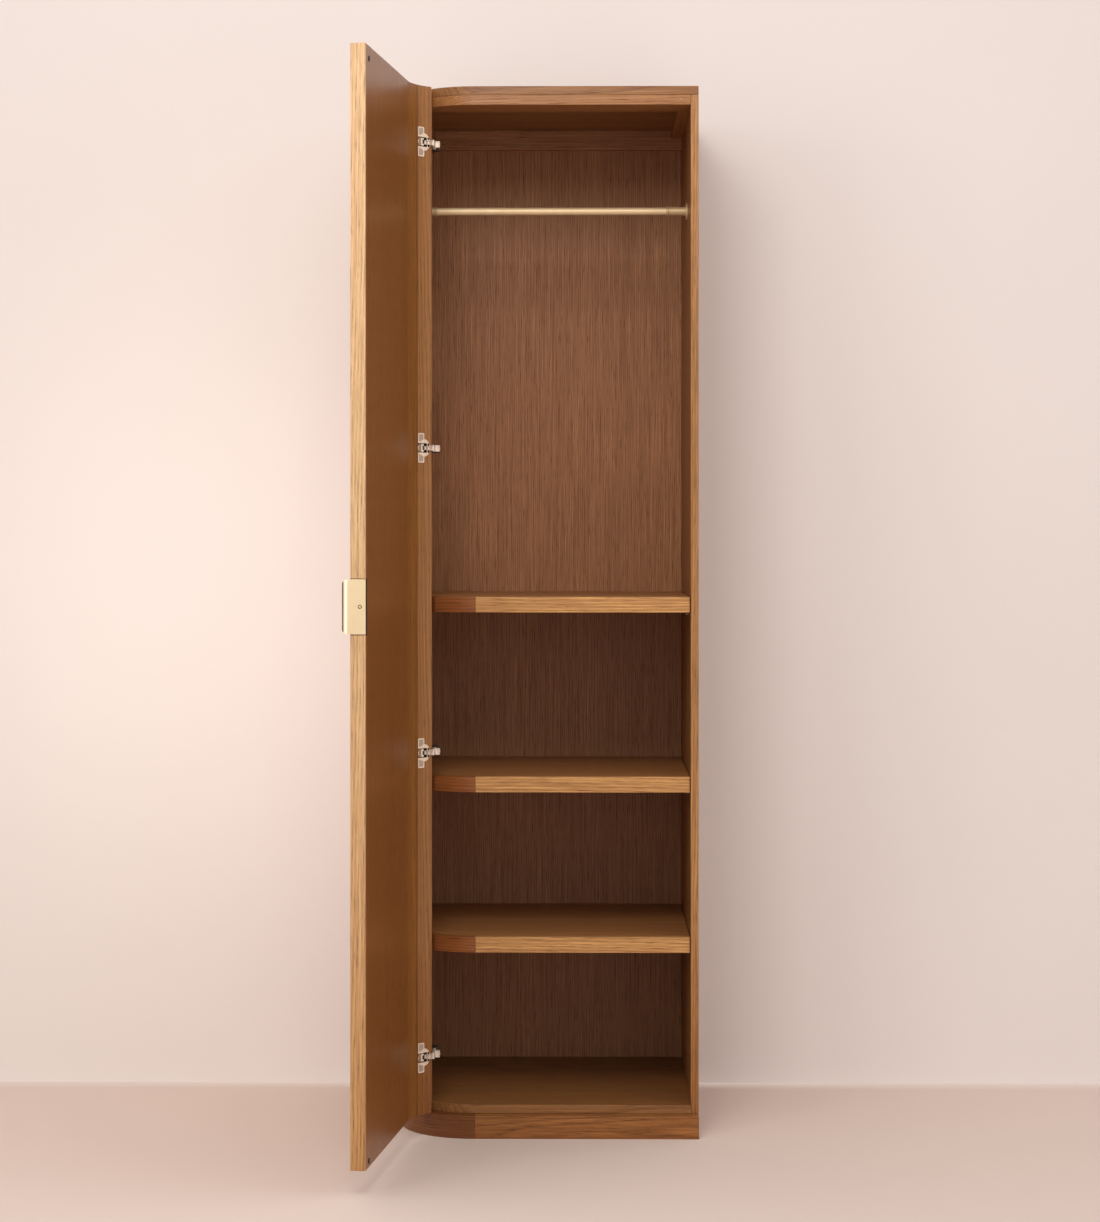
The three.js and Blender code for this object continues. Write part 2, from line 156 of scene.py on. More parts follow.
def lathe(profile, steps=48):
    """A solid turned about Z from points of (radius, height) that start and end on the axis."""
    bm = bmesh.new()
    rings = []
    for radius, height in profile:
        if radius == 0:
            rings.append([bm.verts.new((0, 0, height))])
        else:
            turns = [2 * math.pi * i / steps for i in range(steps)]
            circle = [(radius * math.cos(t), radius * math.sin(t), height) for t in turns]
            rings.append([bm.verts.new(point) for point in circle])
    for a, b in zip(rings, rings[1:]):
        for i in range(steps):
            j = (i + 1) % steps
            corners = [a[i % len(a)], a[j % len(a)], b[j % len(b)], b[i % len(b)]]
            unique = list(dict.fromkeys(corners))
            if len(unique) > 2:
                bm.faces.new(unique)
    bmesh.ops.recalc_face_normals(bm, faces=bm.faces)
    return bm


def round_edges(bm, width, segments=3, sharper_than=28):
    """Rounds every edge that turns by more than an angle in degrees."""
    limit = math.radians(sharper_than)
    edges = [e for e in bm.edges if len(e.link_faces) == 2 and e.calc_face_angle() > limit]
    bmesh.ops.bevel(bm, geom=edges, offset=width, segments=segments, profile=0.5, affect="EDGES",
                    clamp_overlap=True)
    return bm


def moved(bm, matrix):
    bmesh.ops.transform(bm, matrix=matrix, verts=bm.verts)
    return bm


def joined(*parts):
    """One mesh of several closed shells."""
    whole = bmesh.new()
    for part in parts:
        mesh = bpy.data.meshes.new("part")
        part.to_mesh(mesh)
        part.free()
        whole.from_mesh(mesh)
        bpy.data.meshes.remove(mesh)
    return whole


def shift(x=0, y=0, z=0):
    return Matrix.Translation((x, y, z))


def turn(degrees, axis):
    return Matrix.Rotation(math.radians(degrees), 4, axis)


def cut(bm, cutter):
    """bm with the cutter's volume taken away."""
    objects = []
    for part in (bm, cutter):
        mesh = bpy.data.meshes.new("cut")
        part.to_mesh(mesh)
        part.free()
        objects.append(bpy.data.objects.new("cut", mesh))
        bpy.context.scene.collection.objects.link(objects[-1])
    body, tool = objects
    boolean = body.modifiers.new("cut", "BOOLEAN")
    boolean.operation = "DIFFERENCE"
    boolean.solver = "EXACT"
    boolean.object = tool
    evaluated = body.evaluated_get(bpy.context.evaluated_depsgraph_get())
    result = bmesh.new()
    result.from_mesh(evaluated.to_mesh())
    evaluated.to_mesh_clear()
    for used in objects:
        bpy.data.objects.remove(used)
    return result


# ---- Grain: each board's own place in the tree it was cut from ----
CUTS = {                     # the board's distance from the heart of the tree, across and through, in mm
    "quarter": (330, 30),    # straight lines on the face
    "rift": (150, 110),
    "plain": (12, 62),       # arched lines on the face
}


def straight_grain(low, high, along):
    """Grain along one axis; the thinnest other side is the board's depth."""
    middle = (low + high) / 2
    size = high - low
    others = sorted((axis for axis in range(3) if axis != along), key=lambda axis: size[axis])
    depth, across = others

    def coordinates(p):
        return p[across] - middle[across], p[depth] - middle[depth], p[along] - middle[along]
    return coordinates


def curved_grain(radius, middle_z, upright):
    """Grain that follows the rounded corner, either up the board or round it."""
    def coordinates(p):
        round_way = corner_angle(p) * radius
        depth = (p.to_2d() - CORNER).length - radius
        height = p.z - middle_z
        return (round_way, depth, height) if upright else (height, depth, round_way)
    return coordinates


def write_grain(name, bm, coordinates, cut_name):
    """Stores the board's grain coordinates in metres: across and through, from the heart, and along."""
    rng = random.Random(name)
    across, through = CUTS[cut_name]
    side = rng.choice((-1, 1))
    start = Vector((side * across * rng.uniform(0.85, 1.15), through * rng.uniform(0.85, 1.15),
                    rng.uniform(-4000, 4000)))
    layer = bm.verts.layers.float_vector.new("grain")
    for vertex in bm.verts:
        vertex[layer] = (Vector(coordinates(vertex.co)) + start) * MM


# ---- Pieces ----
def place(name, bm, material, body, stands_for=(), swung=False, smooth=30):
    """Makes the finished object from a mesh in millimetres and fastens it to its body."""
    matrix = Matrix.Scale(MM, 4)
    if swung:
        matrix = matrix @ SWING
    mesh = bpy.data.meshes.new(name)
    bm.transform(matrix)
    bm.to_mesh(mesh)
    bm.free()
    mesh.polygons.foreach_set("use_smooth", [True] * len(mesh.polygons))
    mesh.set_sharp_from_angle(angle=math.radians(smooth))
    mesh.materials.append(material)
    piece = bpy.data.objects.new(name, mesh)
    bpy.context.scene.collection.objects.link(piece)
    weighted = piece.modifiers.new("even_shading", "WEIGHTED_NORMAL")
    weighted.keep_sharp = True
    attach(piece, body)
    if stands_for:
        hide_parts(*stands_for)
    return piece


def wooden(name, bm, coordinates, material, node=None, body="cabinet", cut_name="rift", slot="oak",
           arris=ARRIS):
    round_edges(bm, arris)
    write_grain(name, bm, coordinates, cut_name)
    return place(name, bm, material, body, (node or name,), swung=body == "door", smooth=40)


def straight_board(node, material, along="x", **facts):
    """A board whose faces are square to the cabinet, in the place of its node."""
    low, high = box(node)
    return wooden("wood_" + node, slab(low, high), straight_grain(low, high, "xyz".index(along)), material,
                  node=node, **facts)


def corner_board(node, material, upright=False, skin=0.0, **facts):
    """A board bent round the corner, in the place of its node, less the thickness of an outer skin."""
    inner, outer, start, end = sector(node)
    outer -= skin
    low, high = closed_box(node)
    outline = corner_arc(outer, start, end) + corner_arc(inner, end, start)
    middle = (low.z + high.z) / 2
    return wooden("wood_" + node, prism(outline, low.z, high.z),
                  curved_grain((inner + outer) / 2, middle, upright), material, node=node, **facts)


def rounded_board(node, material, along="x", **facts):
    """A board in plan with its front-left corner rounded."""
    low, high = box(node)
    radius = CORNER.y - low.y
    turned = math.acos(max(0.0, (CORNER.y - high.y) / radius))
    outline = [Vector((high.x, high.y)), Vector((high.x, low.y))] + corner_arc(radius, 0, turned)
    if turned == math.pi / 2:
        if low.x < CORNER.x - radius - 1:
            outline.append(Vector((low.x, CORNER.y)))
        outline.append(Vector((low.x, high.y)))
    return wooden("wood_" + node, prism(outline, low.z, high.z),
                  straight_grain(low, high, "xyz".index(along)), material, node=node, **facts)


# ---- Materials ----
def add(tree, kind, inputs=None, **settings):
    """A new node with its properties set, and each input given a value or another node's output."""
    node = tree.nodes.new(kind)
    for key, value in settings.items():
        setattr(node, key, value)
    for key, value in (inputs or {}).items():
        if isinstance(value, bpy.types.NodeSocket):
            tree.links.new(value, node.inputs[key])
        else:
            node.inputs[key].default_value = value
    return node


def calc(tree, operation, a, b=0.0, c=0.0):
    return add(tree, "ShaderNodeMath", {0: a, 1: b, 2: c}, operation=operation).outputs[0]


def scaled(tree, vector, x, y, z):
    return add(tree, "ShaderNodeVectorMath", {0: vector, 1: (x, y, z)}, operation="MULTIPLY").outputs[0]


def noise(tree, vector, detail=2.0, roughness=0.5, scale=1.0):
    return add(tree, "ShaderNodeTexNoise",
               {"Vector": vector, "Scale": scale, "Detail": detail, "Roughness": roughness})


def ramp(tree, value, stops):
    """Grey levels at places along a value from 0 to 1."""
    node = add(tree, "ShaderNodeValToRGB", {"Fac": value})
    elements = node.color_ramp.elements
    while len(elements) < len(stops):
        elements.new(0.5)
    for element, (position, level) in zip(elements, stops):
        element.position = position
        element.color = (level, level, level, 1)
    return node.outputs["Color"]


def blend(tree, kind, factor, a, b):
    node = add(tree, "ShaderNodeMix", data_type="RGBA", blend_type=kind)
    for socket, value in ((node.inputs[0], factor), (node.inputs[6], a), (node.inputs[7], b)):
        if isinstance(value, bpy.types.NodeSocket):
            tree.links.new(value, socket)
        else:
            socket.default_value = value
    return node.outputs[2]


def surface(name):
    material = bpy.data.materials.new(name)
    material.use_nodes = True
    return material, material.node_tree, material.node_tree.nodes["Principled BSDF"]


def rgb(red, green, blue):
    return (red, green, blue, 1.0)


TAPER = 0.014                           # how fast the growth rings close in along the trunk
WANDER = (0.022, 0.022, 0.0)            # how far the grain strays across and through the board
UNEVEN = 0.006                          # how much the rings differ in width
PORE_STAIN = (0.26, 0.17, 0.12, 1.0)    # how the stain darkens in the pores
PAINTED_FLOOR_SHADE = (0.74, 0.58, 0.40, 1.0)    # painted shade: how the colour darkens towards the floor, where less light falls


def oak(name, light, dark, ring=0.0045, ring_depth=0.55, streak_depth=0.5, fine_depth=0.35, gloss=0.42,
        lacquer=0.35, dash=5, foot=0.0):
    """Stained and lacquered oak: growth rings, long streaks, open pores and slow changes of tone.

    A higher dash makes the fine lines shorter. Below the height called foot, in metres, the colour
    darkens towards the floor: painted shade, standing in for the light that falls off lower down.
    """
    material, tree, shader = surface(name)
    grain = add(tree, "ShaderNodeAttribute", attribute_name="grain").outputs["Vector"]
    wander = noise(tree, scaled(tree, grain, 6, 6, 1.3), detail=3).outputs["Color"]
    wander = add(tree, "ShaderNodeVectorMath", {0: wander, 1: (0.5, 0.5, 0.5)},
                 operation="SUBTRACT").outputs[0]
    bent = add(tree, "ShaderNodeVectorMath", {0: wander, 1: WANDER, 2: grain},
               operation="MULTIPLY_ADD").outputs[0]
    parts = add(tree, "ShaderNodeSeparateXYZ", {0: bent}).outputs
    radius = calc(tree, "SQRT", calc(tree, "ADD", calc(tree, "MULTIPLY", parts[0], parts[0]),
                                     calc(tree, "MULTIPLY", parts[1], parts[1])))
    radius = calc(tree, "MULTIPLY_ADD", parts[2], -TAPER, radius)
    outward = add(tree, "ShaderNodeCombineXYZ", {0: calc(tree, "MULTIPLY", radius, 90)}).outputs[0]
    uneven = noise(tree, outward)
    radius = calc(tree, "MULTIPLY_ADD", uneven.outputs[0], UNEVEN, radius)
    year = calc(tree, "FRACT", calc(tree, "DIVIDE", radius, ring))
    rings = ramp(tree, year, [(0.0, 0.10), (0.16, 0.35), (0.40, 0.85), (0.86, 1.0), (1.0, 0.10)])

    streaks = noise(tree, scaled(tree, grain, 190, 190, 2.2), detail=4, roughness=0.62).outputs[0]
    streaks = ramp(tree, streaks, [(0.34, 0.0), (0.50, 0.55), (0.66, 1.0)])
    slow = ramp(tree, noise(tree, scaled(tree, grain, 14, 14, 0.9), detail=2).outputs[0],
                [(0.32, 0.0), (0.68, 1.0)])
    pores = ramp(tree, noise(tree, scaled(tree, grain, 900, 900, 26), detail=2, roughness=0.6).outputs[0],
                 [(0.54, 0.0), (0.64, 1.0)])
    # Pores are widest in the soft wood at the start of each ring.
    pores = blend(tree, "MULTIPLY", 1.0, pores,
                  ramp(tree, year, [(0.0, 1.0), (0.30, 0.85), (0.60, 0.25), (0.95, 0.2), (1.0, 1.0)]))

    tone = blend(tree, "MIX", ring_depth, rgb(1, 1, 1), rings)
    fine = ramp(tree, noise(tree, scaled(tree, grain, 560, 560, dash), detail=3, roughness=0.6).outputs[0],
                [(0.36, 0.0), (0.60, 1.0)])
    tone = blend(tree, "MULTIPLY", streak_depth, tone, streaks)
    tone = blend(tree, "MULTIPLY", fine_depth, tone, fine)
    tone = blend(tree, "MULTIPLY", 0.22, tone, slow)
    colour = blend(tree, "MIX", tone, dark, light)
    colour = blend(tree, "MULTIPLY", calc(tree, "MULTIPLY", pores, 0.8), colour, PORE_STAIN)
    # Painted shade: darkens the colour towards the floor, where less light falls.
    if foot:
        height = add(tree, "ShaderNodeSeparateXYZ", {0: add(tree, "ShaderNodeTexCoord").outputs["Object"]})
        floor_shade = ramp(tree, calc(tree, "DIVIDE", height.outputs[2], foot), [(0.0, 1.0), (1.0, 0.0)])
        colour = blend(tree, "MULTIPLY", floor_shade, colour, PAINTED_FLOOR_SHADE)
    tree.links.new(colour, shader.inputs["Base Color"])

    rough = calc(tree, "MULTIPLY_ADD", pores, 0.12, gloss)
    tree.links.new(calc(tree, "MULTIPLY_ADD", streaks, -0.05, rough), shader.inputs["Roughness"])
    relief = calc(tree, "MULTIPLY_ADD", pores, -0.6, calc(tree, "MULTIPLY", rings, 0.25))
    bump = add(tree, "ShaderNodeBump", {"Strength": 0.5, "Distance": 0.00018, "Height": relief})
    tree.links.new(bump.outputs[0], shader.inputs["Normal"])
    shader.inputs["Specular IOR Level"].default_value = lacquer
    return material


BRUSHED = 0.06               # how much the roughness of a metal changes, either way


def metal(name, colour, shade, rough, metallic=1.0):
    """Plated or solid metal with faint brushing and small changes of tone."""
    material, tree, shader = surface(name)
    point = add(tree, "ShaderNodeTexCoord").outputs["Object"]
    brush = noise(tree, scaled(tree, point, 900, 900, 40), detail=3, roughness=0.6).outputs[0]
    cloud = noise(tree, scaled(tree, point, 35, 35, 35), detail=3).outputs[0]
    factor = ramp(tree, cloud, [(0.35, 0.0), (0.65, 1.0)])
    tree.links.new(blend(tree, "MIX", factor, shade, colour), shader.inputs["Base Color"])
    satin = calc(tree, "MULTIPLY_ADD", brush, BRUSHED * 2, rough - BRUSHED)
    tree.links.new(satin, shader.inputs["Roughness"])
    bump = add(tree, "ShaderNodeBump", {"Strength": 0.25, "Distance": 0.00006, "Height": brush})
    tree.links.new(bump.outputs[0], shader.inputs["Normal"])
    shader.inputs["Metallic"].default_value = metallic
    return material


def moulded(name, colour, shade, rough):
    """Dark moulded plastic or a coated disc with a fine grain."""
    material, tree, shader = surface(name)
    point = add(tree, "ShaderNodeTexCoord").outputs["Object"]
    speckle = noise(tree, scaled(tree, point, 1600, 1600, 1600), detail=3).outputs[0]
    tree.links.new(blend(tree, "MIX", speckle, shade, colour), shader.inputs["Base Color"])
    tree.links.new(calc(tree, "MULTIPLY_ADD", speckle, 0.2, rough - 0.1), shader.inputs["Roughness"])
    bump = add(tree, "ShaderNodeBump", {"Strength": 0.3, "Distance": 0.00004, "Height": speckle})
    tree.links.new(bump.outputs[0], shader.inputs["Normal"])
    shader.inputs["Specular IOR Level"].default_value = 0.2
    return material


OAK = oak("oak", rgb(0.50, 0.240, 0.085), rgb(0.25, 0.092, 0.025))
OAK_TOP = oak("oak_top", rgb(0.43, 0.205, 0.068), rgb(0.17, 0.061, 0.015), ring_depth=0.65, fine_depth=0.5)
OAK_SIDE = oak("oak_side", rgb(0.41, 0.188, 0.064), rgb(0.21, 0.079, 0.022))
# Painted light: a paler copy of the oak for the shelves' front lippings, which face the front light.
OAK_EDGE_PAINTED_LIGHT = oak("oak_edge", rgb(0.80, 0.440, 0.155), rgb(0.33, 0.145, 0.042), ring=0.0055, ring_depth=0.65,
               streak_depth=0.55, fine_depth=0.7, dash=16)
# Painted light and shade: a paler copy of the oak for the plinth and the side's front strip, standing for the
# light on them, darkened towards the floor.
OAK_BAND_PAINTED_LIGHT_AND_SHADE = oak("oak_band_painted_light_and_shade", rgb(0.60, 0.305, 0.104), rgb(0.25, 0.104, 0.029), ring=0.0050, ring_depth=0.7,
               streak_depth=0.6, fine_depth=0.75, dash=14, foot=0.45)
# Painted light and shade: a much paler copy of the oak for the door's free edge, which lies nearest the
# light, darkened towards the floor.
OAK_PALE_PAINTED_LIGHT_AND_SHADE = oak("oak_pale_painted_light_and_shade", rgb(0.86, 0.595, 0.335), rgb(0.46, 0.265, 0.115), ring=0.0050, ring_depth=0.65,
               streak_depth=0.5, fine_depth=0.7, dash=14, foot=1.2)
OAK_BACK = oak("oak_back", rgb(0.57, 0.270, 0.115), rgb(0.24, 0.092, 0.033), ring_depth=0.4,
               streak_depth=0.4, fine_depth=0.8, gloss=0.5, lacquer=0.3)
# Painted shade: a darker copy of the oak for the shelves' corner lippings, which turn towards the open door
# and away from the light.
OAK_CORNER_PAINTED_SHADE = oak("oak_corner", rgb(0.40, 0.140, 0.040), rgb(0.18, 0.052, 0.012), ring_depth=0.7,
                 fine_depth=0.5)
# Painted shade: a very dark copy of the oak for the plinth's corner, which lies under the open door.
OAK_PLINTH_CORNER_PAINTED_SHADE = oak("oak_plinth_corner_painted_shade", rgb(0.225, 0.077, 0.018), rgb(0.12, 0.035, 0.007))
# Painted shade: the hinge stave's oak darkens towards the floor.
OAK_STAVE_PAINTED_SHADE = oak("oak_stave_painted_shade", rgb(0.46, 0.222, 0.080), rgb(0.24, 0.093, 0.027), ring=0.0060, ring_depth=0.65,
                fine_depth=0.45, foot=0.4)
# Painted shade: a darker copy of the oak for the inside of the door's curve, which turns away from the light.
OAK_CURVED_PAINTED_SHADE = oak("oak_curved_painted_shade", rgb(0.38, 0.160, 0.038), rgb(0.18, 0.062, 0.012), fine_depth=0.45)
# Painted shade: a darker copy of the oak for the door's inner face, which turns away from the light.
OAK_DOOR_PAINTED_SHADE = oak("oak_door_painted_shade", rgb(0.280, 0.102, 0.023), rgb(0.195, 0.064, 0.012), ring=0.0080, ring_depth=0.35,
               streak_depth=0.35, fine_depth=0.3, gloss=0.36, lacquer=0.5)
OAK_SEAM = oak("oak_seam", rgb(0.11, 0.040, 0.010), rgb(0.06, 0.020, 0.005))
BRASS = metal("satin_brass", rgb(0.91, 0.73, 0.465), rgb(0.88, 0.69, 0.42), 0.30)
HIGHLIGHT_BRASS = metal("brass_painted_highlight", rgb(1.0, 0.87, 0.66), rgb(0.98, 0.83, 0.61), 0.34)
ROD_BRASS = metal("rod_brass", rgb(0.88, 0.68, 0.41), rgb(0.82, 0.63, 0.37), 0.48, metallic=0.35)
SOCKET_BRASS = metal("socket_brass", rgb(0.64, 0.475, 0.26), rgb(0.57, 0.415, 0.22), 0.46, metallic=0.4)
# Painted shade: a dark copy of the brass for the curl's tip and the ring round the pull's screw.
SHADED_BRASS = metal("shaded_brass", rgb(0.20, 0.135, 0.055), rgb(0.15, 0.10, 0.04), 0.50, metallic=0.5)
NICKEL = metal("nickel_plate", rgb(0.78, 0.70, 0.62), rgb(0.68, 0.61, 0.54), 0.26)
CUP_NICKEL = metal("satin_nickel", rgb(0.98, 0.80, 0.62), rgb(0.92, 0.74, 0.57), 0.50, metallic=0.3)
FIELD_NICKEL_PAINTED_SHADE = metal("shaded_nickel", rgb(0.60, 0.49, 0.39), rgb(0.52, 0.42, 0.33), 0.50, metallic=0.5)
TAB_NICKEL_PAINTED_REFLECTION = metal("nickel_painted_wood_reflection", rgb(0.46, 0.32, 0.22), rgb(0.38, 0.26, 0.17), 0.50, metallic=0.4)
LINK_NICKEL = metal("link_nickel", rgb(0.80, 0.66, 0.54), rgb(0.66, 0.54, 0.44), 0.45, metallic=0.5)
KNUCKLE_NICKEL = metal("knuckle_nickel", rgb(0.84, 0.71, 0.60), rgb(0.78, 0.65, 0.55), 0.50, metallic=0.3)
# Painted shade: near-black steel for the inside of the hinge cups and the mounting arms, which sit in shadow.
STEEL_PAINTED_SHADE = metal("steel_painted_shade", rgb(0.055, 0.040, 0.030), rgb(0.035, 0.025, 0.018), 0.55, metallic=0.3)
DARK_BRASS = metal("dark_brass", rgb(0.26, 0.18, 0.095), rgb(0.18, 0.12, 0.062), 0.45, metallic=0.7)
DULL_NAIL = metal("dull_nail", rgb(0.50, 0.38, 0.26), rgb(0.42, 0.31, 0.21), 0.55, metallic=0.6)
DARK_PLASTIC = moulded("dark_plastic", rgb(0.050, 0.043, 0.038), rgb(0.030, 0.026, 0.023), 0.5)
# Real magnet coating, also used for the painted shadow line round the pull.
MAGNET_AND_PAINTED_SHADE = moulded("magnet_coating_and_painted_shade", rgb(0.020, 0.014, 0.011), rgb(0.012, 0.009, 0.007), 0.6)


# ---- Plinth ----
def build_plinth():
    straight_board("plinth_front", OAK_BAND_PAINTED_LIGHT_AND_SHADE, cut_name="plain")
    straight_board("plinth_left", OAK_BAND_PAINTED_LIGHT_AND_SHADE, along="y", cut_name="plain")
    straight_board("plinth_right", OAK_BAND_PAINTED_LIGHT_AND_SHADE, along="y", cut_name="plain")
    straight_board("plinth_back", OAK_BACK, slot="oak_dark")
    straight_board("plinth_centre_rail", OAK_BACK, along="y", slot="oak_dark")
    # The rounded corner takes the very dark oak: painted shade.
    corner_board("plinth_corner", OAK_PLINTH_CORNER_PAINTED_SHADE)


# ---- Fixed box ----
BAND = 5.0                   # depth of the solid strip on the side's front edge


def banded_side(node):
    """A side panel with a solid strip along its front edge, in a paler oak: painted light on the lit edge."""
    low, high = box(node)
    strip = Vector((high.x, low.y + BAND, high.z))
    rest = Vector((low.x, low.y + BAND, low.z))
    wooden(f"wood_{node}_edge", slab(low, strip), straight_grain(low, strip, 2), OAK_BAND_PAINTED_LIGHT_AND_SHADE, node=node,
           slot="oak_edge", arris=0.8)
    wooden(f"wood_{node}", slab(rest, high), straight_grain(rest, high, 2), OAK_SIDE, node=node, arris=0.25)


def build_carcass():
    rounded_board("bottom_panel", OAK_TOP)
    rounded_board("top_panel", OAK_TOP)
    banded_side("side_panel_right")
    straight_board("side_panel_left", OAK, along="z")
    straight_board("back_panel", OAK_BACK, along="z", cut_name="quarter", slot="oak_dark")
    corner_board("corner_post", OAK, upright=True)
    rounded_board("top_front_rail", OAK)
    straight_board("top_side_strip_right", OAK, along="y")
    straight_board("top_side_strip_left", OAK, along="y")
    straight_board("top_back_cleat", OAK_BACK, slot="oak_dark")


# ---- Shelves ----
def build_shelves():
    for number in (1, 2, 3):
        shelf = f"shelf_{number}"
        rounded_board(shelf + "_board", OAK)
        straight_board(shelf + "_front_lipping", OAK_EDGE_PAINTED_LIGHT, slot="oak_edge")
        # The corner lipping takes the darker oak: painted shade.
        corner_board(shelf + "_corner_lipping", OAK_CORNER_PAINTED_SHADE, slot="oak_edge")
        for corner in ("front_right", "back_right", "front_left", "back_left"):
            build_pin(f"{shelf}_pin_{corner}")


def build_pin(node):
    """A turned shelf pin with a collar against the wall and a rounded nose."""
    low, high = box(node)
    middle = (low + high) / 2
    radius = (high.z - low.z) / 2
    length = high.x - low.x
    profile = [(0, 0), (radius + 1.6, 0), (radius + 1.6, 0.8), (radius + 1.2, 1.2), (radius - 0.2, 1.4),
               (radius, 1.8), (radius, length - 1), (radius - 0.3, length - 0.3), (radius - 1, length),
               (0, length)]
    side = 1 if middle.x < 0 else -1
    wall = low.x if side == 1 else high.x
    pin = moved(lathe(profile, 28), shift(wall, middle.y, middle.z) @ turn(90 * side, "Y"))
    place("metal_" + node, pin, DARK_BRASS, "cabinet", (node,))


# ---- Door ----
SKIN = 1.2                   # thickness of the door's veneers
LIPPING = 7.0                # width of the strip on its free edge, in a paler oak: painted light
SEAM = 1.4                   # width of the dark glue line between its staves
ROOM_ROUND = 0.3             # room left round a hinge cup in the stave


def outer_skin(node):
    """The veneer on the outside of a stave, which runs on in the tone of the door's flat part."""
    _, outer, start, end = sector(node)
    low, high = closed_box(node)
    outline = corner_arc(outer, start, end) + corner_arc(outer - SKIN, end, start)
    wooden(f"wood_{node}_outer_skin", prism(outline, low.z, high.z), curved_grain(outer, 0, True), OAK,
           node=node, body="door", cut_name="quarter", arris=0.25)


def build_door():
    low, high = closed_box("door_panel")
    join = Vector((high.x - LIPPING, high.y, high.z))
    skin_low = Vector((low.x, high.y - SKIN, low.z))
    core_high = Vector((join.x, skin_low.y, high.z))
    # The inner veneer takes the darker copy of the oak: painted shade.
    wooden("wood_door_inner_skin", slab(skin_low, join), straight_grain(low, join, 2), OAK_DOOR_PAINTED_SHADE,
           node="door_panel", body="door", cut_name="quarter", arris=0.25)
    wooden("wood_door_panel", slab(low, core_high), straight_grain(low, join, 2), OAK, node="door_panel",
           body="door", cut_name="quarter", arris=0.5)
    start = Vector((join.x, low.y, low.z))
    wooden("wood_door_edge_lipping", slab(start, high), straight_grain(start, high, 2), OAK_PALE_PAINTED_LIGHT_AND_SHADE,
           node="door_panel", body="door", slot="oak_edge")
    # The curved stave takes the darker oak: painted shade on the door's inner side.
    corner_board("door_curved_stave", OAK_CURVED_PAINTED_SHADE, upright=True, skin=SKIN, body="door")
    build_hinge_stave()
    outer_skin("door_curved_stave")
    outer_skin("door_hinge_stave")


def build_hinge_stave():
    """The stave that holds the hinge cups, and the glue line beside it."""
    node = "door_hinge_stave"
    inner, outer, start, end = sector(node)
    low, high = closed_box(node)
    outline = corner_arc(outer - SKIN, start, end) + corner_arc(inner, end, start)
    stave = round_edges(prism(outline, low.z, high.z), ARRIS)
    for number in range(1, 5):
        radius, depth = CUP_R + ROOM_ROUND, CUP_DEPTH + ROOM_ROUND
        rim = lathe([(0, -depth), (radius, -depth), (radius, 6), (0, 6)], 64)
        wings = slab((WING_IN - ROOM_ROUND, -ROOM_ROUND, -WING_HALF - ROOM_ROUND),
                     (WING_OUT + ROOM_ROUND, 12 - ROOM_ROUND, WING_HALF + ROOM_ROUND))
        to_cup = cup_frame(number)
        stave = cut(stave, moved(rim, to_cup @ turn(-90, "X")))
        stave = cut(stave, moved(wings, to_cup))
    grain = curved_grain((inner + outer) / 2, 0, True)
    write_grain(node, stave, grain, "rift")
    place("wood_" + node, stave, OAK_STAVE_PAINTED_SHADE, "door", (node,), swung=True, smooth=40)
    half = SEAM / 2 / inner
    outline = corner_arc(inner + 2, start - half, start + half)
    outline += corner_arc(inner - 0.15, start + half, start - half)
    seam = prism(outline, low.z + 1, high.z - 1)
    write_grain("seam", seam, grain, "rift")
    place("stave_seam", seam, OAK_SEAM, "door", swung=True)


# ---- Concealed hinges ----
CUP_FROM_EDGE = 21.5         # cup centre to the door's hinge edge, along the inner face
CUP_R = 17.5
CUP_DEPTH = 11.5
CUP_MOUTH = 9.6              # half the height of the opening that the link moves in
PLATE_T = 1.2
WING_IN, WING_OUT = 0.5, 18.5
WING_HALF = 30


def cup_frame(number):
    """Cup frame on the closed door: +X away from the hinge edge, +Y into the cabinet."""
    inner, _, _, end = sector("door_hinge_stave")
    angle = end - CUP_FROM_EDGE / inner
    centre = corner_point(inner, angle)
    low, high = box(f"hinge_{number}_cup")
    return Matrix.Translation((centre.x, centre.y, (low.z + high.z) / 2)) @ Matrix.Rotation(-angle, 4, "Z")


def upright_plate(outline, low, high):
    """A plate drawn in X and Z, between two depths along Y."""
    return moved(prism([(p[0], p[1]) for p in outline], -high, -low), turn(90, "X"))


def cup_shell():
    """The dish and its cover plate, whose mouth has straight upper and lower sides."""
    wall = lathe([(0, -11.5), (14.8, -11.5), (16.4, -11.0), (17.2, -9.6), (17.2, 0.6), (0, 0.6)], 64)
    hollow = slab((-15.4, -CUP_MOUTH, -10.4), (15.4, CUP_MOUTH, 4))
    round_edges(hollow, 3.0, 4)
    dish = cut(wall, hollow)
    cover = lathe([(0, 0.2), (17.7, 0.2), (17.7, 1.1), (17.2, 1.6), (0, 1.6)], 64)
    mouth = slab((-15.4, -CUP_MOUTH, -2), (17.2, CUP_MOUTH, 4))
    cover = cut(cover, mouth)
    return moved(dish, turn(-90, "X")), moved(cover, turn(-90, "X"))


def wing(side):
    """A wing of the cover plate with a raised rim, above or below the mouth."""
    inner = CUP_MOUTH
    outline = ([Vector((WING_IN, inner)), Vector((WING_OUT, inner))]
               + arc(WING_OUT - 2.5, WING_HALF - 2.5, 2.5, 0, 90, 5)
               + arc(WING_IN + 2.5, WING_HALF - 2.5, 2.5, 90, 180, 5))
    plate = upright_plate(outline, -0.2, PLATE_T + 0.7)
    face = max(plate.faces, key=lambda f: f.calc_center_median().y)
    bmesh.ops.inset_region(plate, faces=[face], thickness=2.2, depth=0)
    bmesh.ops.inset_region(plate, faces=[face], thickness=0.4, depth=-0.45)
    round_edges(plate, 0.3, 2)
    return mirrored(plate, side)


